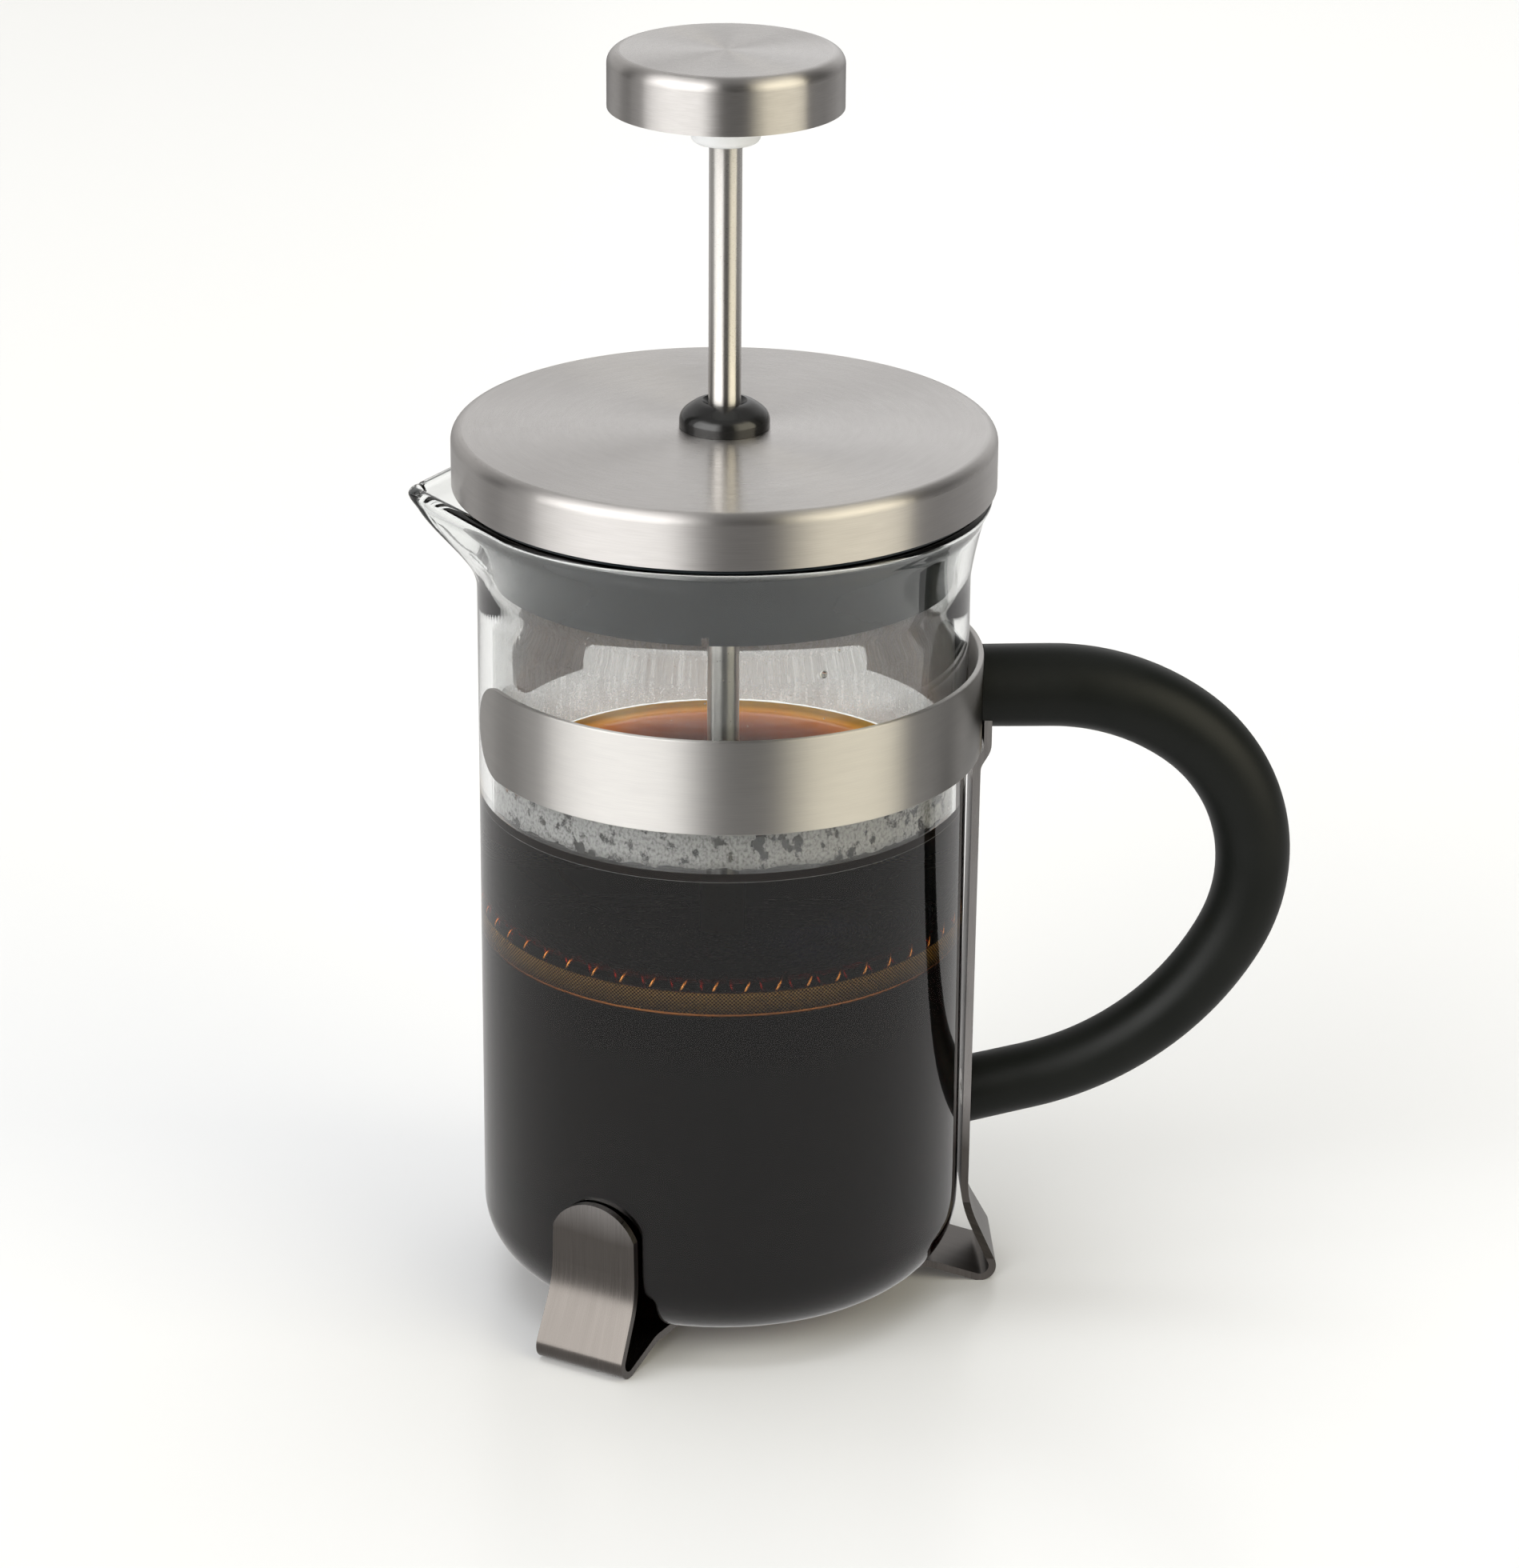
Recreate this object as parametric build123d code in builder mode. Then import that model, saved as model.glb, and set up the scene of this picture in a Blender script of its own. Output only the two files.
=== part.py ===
from build123d import *
import math
import os

# French press for about three cups, 0.35 litre.
# Origin: on the beaker's axis, in the plane that the feet stand on.
# +Z up, +X towards the handle, -X towards the spout. Millimetres.

os.makedirs("parts", exist_ok=True)

# ---- driving dimensions -------------------------------------------------
GLASS_R = 35.0  # outside radius of the straight beaker wall
GLASS_WALL = 1.9
GLASS_BASE_Z = 3.5  # underside of the beaker
GLASS_FLOOR = 2.5  # thickness of the beaker's bottom
GLASS_CORNER_R = 9.5
FLARE_Z = 105.0  # where the wall starts to flare out
RIM_Z = 122.3  # top of the beaker's rim
RIM_R = 38.2
SPOUT_TIP_R = 45.1

STRIP_T = 1.1  # sheet thickness of the base frame
FOOT_HALF_W = 7.2
FOOT_TOP_HALF_W = 6.7
STRUT_HALF_W = 4.5
FRONT_FOOT_ANGLE = 122.0  # either side of the handle
FOOT_LEAN = 26.0  # degrees that a foot leans out from the vertical
TOE_RISE = 18.0  # degrees that the strip rises inwards from the toe
TOE_R = 2.4  # outer radius of the bend that stands on the table
FOOT_FLAT = 0.04  # depth worn flat under each toe
FOOT_SHOULDER_Z = 20.3
FOOT_APEX_Z = 24.7

BAND_T = 0.8
BAND_R = 35.85  # inside radius of the holder band
BAND_SHIFT = 0.5  # the band stands this far off towards the handle
BAND_LOW_Z = 83.9
BAND_HIGH_Z = 97.7
BAND_GAP_CENTRE = 176.0
BAND_GAP_HALF = 20.0

HANDLE_TOP_Z = 91.8
HANDLE_LOW_Z = 28.4
HANDLE_TOP_R = 5.9
HANDLE_MID_R = 5.25
HANDLE_LOW_R = 4.9
# The grip's middle line: a level run from the band, three arcs, and a run back to the strut.
SHOULDER_START_R = 46.9
SHOULDER_R = 33.3
SHOULDER_TURN = 36.6
FRONT_R = 25.7
FRONT_TURN = 80.6
HEEL_R = 43.9
HEEL_TURN = 49.8
LOW_RUN = 10.0
SCREW_R = 1.5
SCREW_HEAD_R = 2.8
SCREW_LENGTH = 8.0
RECESS_SPAN = 2.4
RECESS_SLOT = 0.5
RECESS_DEPTH = 0.7
INSERT_R = 2.6
INSERT_LENGTH = 6.0

LID_R = 38.45
LID_LOW_Z = 123.1
LID_TOP_Z = 131.0
LID_T = 0.8
LID_ROUND = 1.6
LINER_LOW_Z = 110.5
LINER_WALL = 1.5
SKIRT_LOW_R = 32.7  # outside radius of the skirt's lower edge
SKIRT_MID = (33.7, 115.5)  # radius and height of a point half way up the skirt
SKIRT_TOP_R = 34.6
DISC_T = 1.8
HUB_R = 7.5
HUB_LOW_Z = 121.0

DOME_R = 6.4
DOME_H = 3.8
DOME_TOP_R = 3.2
DOME_DISH = 0.8  # depth of the hollow round the rod
BUSH_R = 3.95
BUSH_LOW_Z = 117.6
ROD_R = 2.3
ROD_FIT = 0.08

KNOB_R = 16.4
KNOB_LOW_Z = 177.1
KNOB_HIGH_Z = 185.0
KNOB_ROUND = 1.8
KNOB_CAP_T = 0.7
COLLAR_R = 4.9
COLLAR_LOW_Z = 172.1
ROD_THREAD_R = 2.0

FILTER_R = 32.8
MESH_Z = 55.6  # underside of the mesh disc
MESH_RIM_Z = 58.8
MESH_T = 0.3
SPRING_Z = 59.2
SPRING_COIL_R = 1.6
SPRING_WIRE_R = 0.3

SHEET_EDGE = 0.2  # rounding of the sheet steel's long edges

SEAT_GAP = 0.05  # between a countersunk head and its seat
SLIP = 0.03  # radial gap between parts that are pressed or screwed together


def finish(part, name):
    part.label = name
    export_step(part, f"parts/{name}.step")


# ---- beaker -------------------------------------------------------------
def tear_plan(radius, tip):
    """Half of a drop shape in plan: the tangents from the spout's tip to a circle."""
    angle = math.acos(radius / tip)
    return radius * math.cos(angle), radius * math.sin(angle)


# The spout at four heights: height, radius of the beaker there, radius of the spout's tip.
SPOUT_LEVELS = (
    (109.0, 35.5, 35.9),
    (113.0, 35.95, 39.4),
    (118.0, 37.4, 44.2),
    (RIM_Z, RIM_R, SPOUT_TIP_R),
)
SPOUT_TIP_ROUND = 2.0
SPOUT_ROOT_R = 20.0  # the spout's loft starts this far inside the wall
THROAT_ROOT_R = 15.0
THROAT_WALL = 2.2  # glass left in front of the throat's tip
THROAT_TIP_ROUND = 0.8
RIM_LAND = 1.6  # height of the straight rim
RIM_WALL = 2.1
THROAT_RISE = 0.6  # the throat's floor stands this much above the spout's underside

with BuildPart() as beaker:
    with BuildSketch(Plane.XZ):
        with BuildLine():
            Line((0, GLASS_BASE_Z), (GLASS_R - GLASS_CORNER_R, GLASS_BASE_Z))
            RadiusArc(
                (GLASS_R - GLASS_CORNER_R, GLASS_BASE_Z),
                (GLASS_R, GLASS_BASE_Z + GLASS_CORNER_R),
                -GLASS_CORNER_R,
            )
            Line((GLASS_R, GLASS_BASE_Z + GLASS_CORNER_R), (GLASS_R, FLARE_Z))
            Spline(
                (GLASS_R, FLARE_Z),
                (GLASS_R + 0.9, (FLARE_Z + RIM_Z) / 2 - 0.4),
                (RIM_R, RIM_Z - RIM_LAND),
                tangents=((0, 1), (0.35, 1)),
            )
            Line((RIM_R, RIM_Z - RIM_LAND), (RIM_R, RIM_Z))
            Line((RIM_R, RIM_Z), (0, RIM_Z))
            Line((0, RIM_Z), (0, GLASS_BASE_Z))
        make_face()
    revolve(axis=Axis.Z)
    for level_z, level_r, tip_r in SPOUT_LEVELS:
        with BuildSketch(Plane.XY.offset(level_z)) as lip:
            px, py = tear_plan(level_r, tip_r)
            with BuildLine():
                Polyline(
                    (-tip_r, 0),
                    (-px, py),
                    (-SPOUT_ROOT_R, py * 0.7),
                    (-SPOUT_ROOT_R, -py * 0.7),
                    (-px, -py),
                    close=True,
                )
            make_face()
            fillet(lip.vertices().sort_by(Axis.X)[0], SPOUT_TIP_ROUND)
    loft()
    with BuildSketch(Plane.XZ):
        with BuildLine():
            inner_r = GLASS_R - GLASS_WALL
            inner_z = GLASS_BASE_Z + GLASS_FLOOR
            inner_corner = GLASS_CORNER_R - GLASS_WALL
            Line((0, inner_z), (inner_r - inner_corner, inner_z))
            RadiusArc((inner_r - inner_corner, inner_z), (inner_r, inner_z + inner_corner), -inner_corner)
            Line((inner_r, inner_z + inner_corner), (inner_r, FLARE_Z))
            Spline(
                (inner_r, FLARE_Z),
                (inner_r + 1.0, (FLARE_Z + RIM_Z) / 2),
                (RIM_R - RIM_WALL, RIM_Z - RIM_LAND),
                tangents=((0, 1), (0.35, 1)),
            )
            Line((RIM_R - RIM_WALL, RIM_Z - RIM_LAND), (RIM_R - RIM_WALL, RIM_Z + 1))
            Line((RIM_R - RIM_WALL, RIM_Z + 1), (0, RIM_Z + 1))
            Line((0, RIM_Z + 1), (0, inner_z))
        make_face()
    revolve(axis=Axis.Z, mode=Mode.SUBTRACT)
    for level_z, level_r, tip_r in SPOUT_LEVELS:
        with BuildSketch(Plane.XY.offset(level_z + THROAT_RISE)) as throat:
            throat_r = level_r - GLASS_WALL
            throat_tip = max(tip_r - THROAT_WALL, throat_r + 0.1)
            px, py = tear_plan(throat_r, throat_tip)
            with BuildLine():
                Polyline(
                    (-throat_tip, 0),
                    (-px, py),
                    (-THROAT_ROOT_R, py * 0.6),
                    (-THROAT_ROOT_R, -py * 0.6),
                    (-px, -py),
                    close=True,
                )
            make_face()
            fillet(throat.vertices().sort_by(Axis.X)[0], THROAT_TIP_ROUND)
    loft(mode=Mode.SUBTRACT)
finish(beaker.part, "beaker")


# ---- base frame: three feet, a strut and the arms that join them --------
def toe_path(knee_r, knee_z):
    """Corner points of a foot's middle line, from its knee to the beaker's axis."""
    lean = math.radians(FOOT_LEAN)
    rise = math.radians(TOE_RISE)
    bend = TOE_R - STRIP_T / 2
    centre_z = TOE_R - FOOT_FLAT
    leg_z = centre_z + bend * math.sin(lean)
    leg_r = knee_r + (knee_z - leg_z) * math.tan(lean)
    centre_r = leg_r - bend * math.cos(lean)
    low_r = centre_r - bend * math.sin(rise)
    low_z = centre_z - bend * math.cos(rise)
    slope = math.tan(rise)
    corner_z = (low_z + (low_r - leg_r - leg_z * math.tan(lean)) * slope) / (1 - math.tan(lean) * slope)
    corner_r = low_r - (corner_z - low_z) / slope
    arm_z = GLASS_BASE_Z - 0.1 - STRIP_T / 2
    arm_r = low_r - (arm_z - low_z) / slope
    return (corner_r, corner_z), (arm_r, arm_z), (0, arm_z)


KNEE_Z = 11.4
KNEE_R = GLASS_R + 0.3 + STRIP_T / 2  # middle line of a foot where it meets the glass
KNEE_BEND = 14.0
ARM_BEND = 5.0
STRUT_TOP_R = 37.75
STRUT_TOP_Z = 94.8
JOG_HIGH_Z = 83.6
JOG_LOW_Z = 81.0
STRUT_R = 36.25
TAPER_HIGH_Z = 11.5
TAPER_LOW_Z = 3.5
REACH = 60.0  # further out than any part of the frame

with BuildPart() as rear_arm:
    with BuildLine(Plane.XZ):
        FilletPolyline(
            (STRUT_TOP_R, STRUT_TOP_Z),
            (STRUT_TOP_R, JOG_HIGH_Z),
            (STRUT_R, JOG_LOW_Z),
            (KNEE_R, KNEE_Z),
            *toe_path(KNEE_R, KNEE_Z),
            radius=(3.0, 3.0, KNEE_BEND, TOE_R - STRIP_T / 2, ARM_BEND),
        )
    with BuildSketch(Plane((STRUT_TOP_R, 0, STRUT_TOP_Z), x_dir=(1, 0, 0), z_dir=(0, 0, -1))):
        Rectangle(STRIP_T, 2 * FOOT_HALF_W)
    sweep()
    with BuildSketch(Plane.YZ):
        with BuildLine():
            Polyline(
                (-FOOT_HALF_W, 0),
                (-FOOT_HALF_W, TAPER_LOW_Z),
                (-STRUT_HALF_W, TAPER_HIGH_Z),
                (-STRUT_HALF_W, STRUT_TOP_Z),
                (STRUT_HALF_W, STRUT_TOP_Z),
                (STRUT_HALF_W, TAPER_HIGH_Z),
                (FOOT_HALF_W, TAPER_LOW_Z),
                (FOOT_HALF_W, 0),
                close=True,
            )
        make_face()
    extrude(amount=REACH, mode=Mode.INTERSECT)

with BuildPart() as front_foot:
    with BuildLine(Plane.XZ):
        FilletPolyline(
            (KNEE_R, FOOT_APEX_Z),
            (KNEE_R, KNEE_Z),
            *toe_path(KNEE_R, KNEE_Z),
            radius=(KNEE_BEND, TOE_R - STRIP_T / 2, ARM_BEND),
        )
    with BuildSketch(Plane((KNEE_R, 0, FOOT_APEX_Z), x_dir=(1, 0, 0), z_dir=(0, 0, -1))):
        Rectangle(STRIP_T, 2 * FOOT_HALF_W)
    sweep()
    with BuildSketch(Plane.YZ):
        with BuildLine():
            Line((-FOOT_TOP_HALF_W, FOOT_SHOULDER_Z), (-FOOT_HALF_W, 0))
            Line((-FOOT_HALF_W, 0), (FOOT_HALF_W, 0))
            Line((FOOT_HALF_W, 0), (FOOT_TOP_HALF_W, FOOT_SHOULDER_Z))
            ThreePointArc(
                (FOOT_TOP_HALF_W, FOOT_SHOULDER_Z),
                (0, FOOT_APEX_Z),
                (-FOOT_TOP_HALF_W, FOOT_SHOULDER_Z),
            )
        make_face()
    extrude(amount=REACH, mode=Mode.INTERSECT)


BAND_FACE_R = BAND_SHIFT + math.sqrt(BAND_R**2 - SCREW_HEAD_R**2)  # the band's inside face at a screw
STRUT_FACE_LOW = KNEE_R + (STRUT_R - KNEE_R) * (HANDLE_LOW_Z - KNEE_Z) / (JOG_LOW_Z - KNEE_Z) - STRIP_T / 2

# The screws run along +X from a face that the beaker covers: radius of the face, height.
SCREWS = ((BAND_FACE_R, HANDLE_TOP_Z), (STRUT_FACE_LOW, HANDLE_LOW_Z))

with BuildPart() as screw_seats:
    for face_r, height in SCREWS:
        mouth = Plane((face_r, 0, height), x_dir=(0, 1, 0), z_dir=(1, 0, 0))
        with BuildSketch(mouth):
            Circle(SCREW_HEAD_R + SEAT_GAP)
        with BuildSketch(mouth.offset(STRIP_T)):
            Circle(SCREW_R + SEAT_GAP)
        loft()
        with BuildSketch(mouth.offset(-1)):
            Circle(SCREW_HEAD_R + SEAT_GAP)
        extrude(amount=1)
        with BuildSketch(mouth):
            Circle(SCREW_R + SEAT_GAP)
        extrude(amount=STRIP_T * 3)

with BuildPart() as base_frame:
    add(rear_arm.part)
    with Locations(Rotation(0, 0, FRONT_FOOT_ANGLE), Rotation(0, 0, -FRONT_FOOT_ANGLE)):
        add(front_foot.part)
    split(bisect_by=Plane.XY, keep=Keep.TOP)
    add(screw_seats.part, mode=Mode.SUBTRACT)
finish(base_frame.part, "base_frame")

# ---- holder band --------------------------------------------------------
BAND_H = BAND_HIGH_Z - BAND_LOW_Z
with BuildPart() as holder_band:
    with BuildSketch(Plane.XY.offset(BAND_LOW_Z)):
        with Locations((BAND_SHIFT, 0)):
            Circle(BAND_R + BAND_T)
            Circle(BAND_R, mode=Mode.SUBTRACT)
            gap = math.radians(BAND_GAP_HALF)
            middle = math.radians(BAND_GAP_CENTRE)
            with BuildLine():
                Polyline(
                    (0, 0),
                    (REACH * math.cos(middle - gap), REACH * math.sin(middle - gap)),
                    (REACH * math.cos(middle + gap), REACH * math.sin(middle + gap)),
                    close=True,
                )
            make_face(mode=Mode.SUBTRACT)
    extrude(amount=BAND_H)
    ends = holder_band.edges().filter_by(GeomType.LINE).filter_by(lambda e: abs(e.length - BAND_T) < 0.05)
    fillet(ends, BAND_H / 2 - 0.1)
    fillet(holder_band.faces().filter_by(Axis.Z).edges(), SHEET_EDGE)
    add(screw_seats.part, mode=Mode.SUBTRACT)
finish(holder_band.part, "holder_band")

# ---- handle -------------------------------------------------------------
HANDLE_FACE_R = BAND_SHIFT + BAND_R + BAND_T + 0.05  # the upper end sits against the band
HANDLE_LOW_FACE_R = STRUT_FACE_LOW + STRIP_T + 0.1

# Share of the middle line's length, and the grip's radius there.
GRIP_SECTIONS = ((0, HANDLE_TOP_R), (0.2, HANDLE_TOP_R), (0.55, HANDLE_MID_R), (1, HANDLE_LOW_R))

with BuildPart() as handle:
    with BuildLine(Plane.XZ) as grip_line:
        top_run = Line((HANDLE_FACE_R - 1.5, HANDLE_TOP_Z), (SHOULDER_START_R, HANDLE_TOP_Z))
        shoulder = JernArc(top_run @ 1, top_run % 1, SHOULDER_R, -SHOULDER_TURN)
        front = JernArc(shoulder @ 1, shoulder % 1, FRONT_R, -FRONT_TURN)
        heel = JernArc(front @ 1, front % 1, HEEL_R, -HEEL_TURN)
        low_run = Line(heel @ 1, heel @ 1 + (heel % 1) * LOW_RUN)
    grip_wire = grip_line.wire()
    for along, section_r in GRIP_SECTIONS:
        with BuildSketch(Plane(grip_wire @ along, x_dir=(0, 1, 0), z_dir=grip_wire % along)):
            Circle(section_r)
    sweep(path=grip_wire, multisection=True)
    # The lower end is cut square against the strut, the upper end fits round the band.
    with BuildSketch(Plane.XY.offset(HANDLE_LOW_Z - 15)):
        Rectangle(2 * HANDLE_LOW_FACE_R, 40)
    extrude(amount=30, mode=Mode.SUBTRACT)
    with BuildSketch(Plane.XY.offset(HANDLE_TOP_Z - 15)):
        with Locations((BAND_SHIFT, 0)):
            Circle(HANDLE_FACE_R - BAND_SHIFT)
    extrude(amount=30, mode=Mode.SUBTRACT)
    # Slot in the upper end that the strut's tongue sits in.
    with BuildSketch(Plane.XY.offset(HANDLE_TOP_Z - 15)):
        with Locations((HANDLE_FACE_R, 0)):
            Rectangle(2 * (STRUT_TOP_R + STRIP_T / 2 + 0.05 - HANDLE_FACE_R), 2 * STRUT_HALF_W + 0.2)
    extrude(amount=15 + STRUT_TOP_Z - HANDLE_TOP_Z + 0.2, mode=Mode.SUBTRACT)
    for face_r, height in ((STRUT_TOP_R, HANDLE_TOP_Z), (HANDLE_LOW_FACE_R, HANDLE_LOW_Z)):
        with BuildSketch(Plane((face_r, 0, height), x_dir=(0, 1, 0), z_dir=(1, 0, 0))):
            Circle(INSERT_R + SLIP)
        extrude(amount=INSERT_LENGTH + 1.5, mode=Mode.SUBTRACT)
finish(handle.part, "handle")

INSERT_FACES = (STRUT_TOP_R + STRIP_T / 2 + 0.15, HANDLE_LOW_FACE_R + 0.1)

with BuildPart() as handle_screws:
    for face_r, height in SCREWS:
        mouth = Plane((face_r, 0, height), x_dir=(0, 1, 0), z_dir=(1, 0, 0))
        with BuildSketch(mouth):
            Circle(SCREW_HEAD_R)
        with BuildSketch(mouth.offset(STRIP_T)):
            Circle(SCREW_R)
        loft()
        with BuildSketch(mouth):
            Circle(SCREW_R)
        extrude(amount=SCREW_LENGTH)
        # Cross recess in the head.
        with BuildSketch(mouth):
            Rectangle(RECESS_SPAN, RECESS_SLOT)
            Rectangle(RECESS_SLOT, RECESS_SPAN)
        extrude(amount=RECESS_DEPTH, mode=Mode.SUBTRACT)
finish(handle_screws.part, "handle_screws")

with BuildPart() as handle_inserts:
    for (face_r, height), insert_face in zip(SCREWS, INSERT_FACES):
        with BuildSketch(Plane((insert_face, 0, height), x_dir=(0, 1, 0), z_dir=(1, 0, 0))):
            Circle(INSERT_R)
            Circle(SCREW_R + SLIP, mode=Mode.SUBTRACT)
        extrude(amount=INSERT_LENGTH)
finish(handle_inserts.part, "handle_inserts")

# ---- lid ----------------------------------------------------------------
with BuildPart() as lid_cover:
    with BuildSketch(Plane.XY.offset(LID_LOW_Z)):
        Circle(LID_R)
    extrude(amount=LID_TOP_Z - LID_LOW_Z)
    fillet(lid_cover.faces().sort_by(Axis.Z)[-1].edges(), LID_ROUND)
    offset(amount=-LID_T, openings=lid_cover.faces().sort_by(Axis.Z)[0])
    with BuildSketch(Plane.XY.offset(LID_TOP_Z)):
        Circle(BUSH_R + 0.05)
    extrude(amount=-LID_T * 2, mode=Mode.SUBTRACT)
finish(lid_cover.part, "lid_cover")

LINER_TOP_Z = LID_TOP_Z - LID_T - 0.05
LINER_R = LID_R - LID_T - 0.05
LINER_ROUND = 0.9
SEAT_Z = RIM_Z + 0.1
SEAT_IN_R = RIM_R - 2.5
SKIRT_IN_R = SKIRT_TOP_R - LINER_WALL
NOTCH_X = -3.6
NOTCH_W = 1.0
NOTCH_H = 1.2
with BuildPart() as lid_liner:
    with BuildSketch(Plane.XZ):
        with BuildLine():
            Line((BUSH_R + 0.05, LINER_TOP_Z), (LINER_R - LINER_ROUND, LINER_TOP_Z))
            RadiusArc(
                (LINER_R - LINER_ROUND, LINER_TOP_Z),
                (LINER_R, LINER_TOP_Z - LINER_ROUND),
                LINER_ROUND,
            )
            Line((LINER_R, LINER_TOP_Z - LINER_ROUND), (LINER_R, SEAT_Z))
            Line((LINER_R, SEAT_Z), (SEAT_IN_R, SEAT_Z))
            Spline(
                (SEAT_IN_R, SEAT_Z),
                SKIRT_MID,
                (SKIRT_LOW_R, LINER_LOW_Z),
                tangents=((-0.2, -1), (0, -1)),
            )
            Line((SKIRT_LOW_R, LINER_LOW_Z), (SKIRT_LOW_R - LINER_WALL, LINER_LOW_Z))
            Spline(
                (SKIRT_LOW_R - LINER_WALL, LINER_LOW_Z),
                (SKIRT_MID[0] - LINER_WALL, SKIRT_MID[1] + 0.5),
                (SKIRT_IN_R, HUB_LOW_Z - 0.5),
                tangents=((0, 1), (0.2, 1)),
            )
            Line((SKIRT_IN_R, HUB_LOW_Z - 0.5), (SKIRT_IN_R, LINER_TOP_Z - DISC_T))
            Line((SKIRT_IN_R, LINER_TOP_Z - DISC_T), (HUB_R, LINER_TOP_Z - DISC_T))
            Line((HUB_R, LINER_TOP_Z - DISC_T), (HUB_R, HUB_LOW_Z))
            Line((HUB_R, HUB_LOW_Z), (BUSH_R + 0.05, HUB_LOW_Z))
            Line((BUSH_R + 0.05, HUB_LOW_Z), (BUSH_R + 0.05, LINER_TOP_Z))
        make_face()
    revolve(axis=Axis.Z)
    # Small notch in the skirt's lower edge.
    with BuildSketch(Plane.XZ.offset(25)):
        with Locations((NOTCH_X, LINER_LOW_Z)):
            Rectangle(NOTCH_W, 2 * NOTCH_H)
    extrude(amount=15, mode=Mode.SUBTRACT)
finish(lid_liner.part, "lid_liner")

with BuildPart() as lid_bush:
    with BuildSketch(Plane.XZ):
        with BuildLine():
            dome_base = LID_TOP_Z + 0.05
            Line((ROD_R + ROD_FIT, BUSH_LOW_Z), (BUSH_R, BUSH_LOW_Z))
            Line((BUSH_R, BUSH_LOW_Z), (BUSH_R, dome_base))
            Line((BUSH_R, dome_base), (DOME_R, dome_base))
            Line((DOME_R, dome_base), (DOME_R, dome_base + 0.8))
            Spline(
                (DOME_R, dome_base + 0.8),
                ((DOME_R + DOME_TOP_R) / 2 + 0.2, dome_base + DOME_H - 0.8),
                (DOME_TOP_R, dome_base + DOME_H),
                tangents=((0, 1), (-1, 0.1)),
            )
            Line((DOME_TOP_R, dome_base + DOME_H), (ROD_R + ROD_FIT, dome_base + DOME_H - DOME_DISH))
            Line((ROD_R + ROD_FIT, dome_base + DOME_H - DOME_DISH), (ROD_R + ROD_FIT, BUSH_LOW_Z))
        make_face()
    revolve(axis=Axis.Z)
finish(lid_bush.part, "lid_bush")

BUSH_NUT_R = 6.6
BUSH_NUT_LOW_Z = BUSH_LOW_Z + 0.6
with BuildPart() as bush_nut:
    with BuildSketch(Plane.XY.offset(BUSH_NUT_LOW_Z)):
        RegularPolygon(BUSH_NUT_R, 6)
        Circle(BUSH_R + SLIP, mode=Mode.SUBTRACT)
    extrude(amount=HUB_LOW_Z - 0.1 - BUSH_NUT_LOW_Z)
    chamfer(bush_nut.faces().sort_by(Axis.Z)[0].edges().filter_by(GeomType.LINE), 0.4)
finish(bush_nut.part, "bush_nut")

# ---- plunger ------------------------------------------------------------
ROD_SHOULDER_LOW = 58.2
ROD_SHOULDER_HIGH = 176.0
ROD_END_HIGH = 182.6
NUT_LOW_Z = 50.6
ROD_END_LOW = NUT_LOW_Z - 0.8
with BuildPart() as plunger_rod:
    with BuildSketch(Plane.XY.offset(ROD_SHOULDER_LOW)):
        Circle(ROD_R)
    extrude(amount=ROD_SHOULDER_HIGH - ROD_SHOULDER_LOW)
    with BuildSketch(Plane.XY.offset(ROD_END_LOW)):
        Circle(ROD_THREAD_R)
    extrude(amount=ROD_END_HIGH - ROD_END_LOW)
    chamfer(plunger_rod.edges().group_by(Axis.Z)[0], 0.4)
    chamfer(plunger_rod.edges().group_by(Axis.Z)[-1], 0.4)
finish(plunger_rod.part, "plunger_rod")

with BuildPart() as knob_cap:
    with BuildSketch(Plane.XY.offset(KNOB_LOW_Z)):
        Circle(KNOB_R)
    extrude(amount=KNOB_HIGH_Z - KNOB_LOW_Z)
    fillet(knob_cap.faces().sort_by(Axis.Z)[-1].edges(), KNOB_ROUND)
    offset(amount=-KNOB_CAP_T, openings=knob_cap.faces().sort_by(Axis.Z)[0])
finish(knob_cap.part, "knob_cap")

CORE_R = KNOB_R - KNOB_CAP_T - SLIP
CORE_LOW_Z = KNOB_LOW_Z + 0.5
CORE_HIGH_Z = KNOB_HIGH_Z - KNOB_CAP_T - SLIP
POCKET_R = 4.0
with BuildPart() as knob_core:
    with BuildSketch(Plane.XY.offset(CORE_LOW_Z)):
        Circle(CORE_R)
    extrude(amount=CORE_HIGH_Z - CORE_LOW_Z)
    fillet(knob_core.faces().sort_by(Axis.Z)[-1].edges(), KNOB_ROUND - 0.4)
    with BuildSketch(Plane.XY.offset(CORE_LOW_Z)):
        Circle(COLLAR_R + 0.2)
    with BuildSketch(Plane.XY.offset(COLLAR_LOW_Z)):
        Circle(COLLAR_R - 0.1)
    loft()
    fillet(knob_core.faces().sort_by(Axis.Z)[0].edges(), 0.9)
    # Bore for the rod, and the pocket that its threaded insert is moulded into.
    with BuildSketch(Plane.XY.offset(COLLAR_LOW_Z)):
        Circle(ROD_R + SLIP)
    extrude(amount=ROD_SHOULDER_HIGH - COLLAR_LOW_Z + 0.2, mode=Mode.SUBTRACT)
    with BuildSketch(Plane.XY.offset(ROD_SHOULDER_HIGH)):
        Circle(POCKET_R)
    extrude(amount=ROD_END_HIGH - ROD_SHOULDER_HIGH + 0.3, mode=Mode.SUBTRACT)
finish(knob_core.part, "knob_core")

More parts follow.
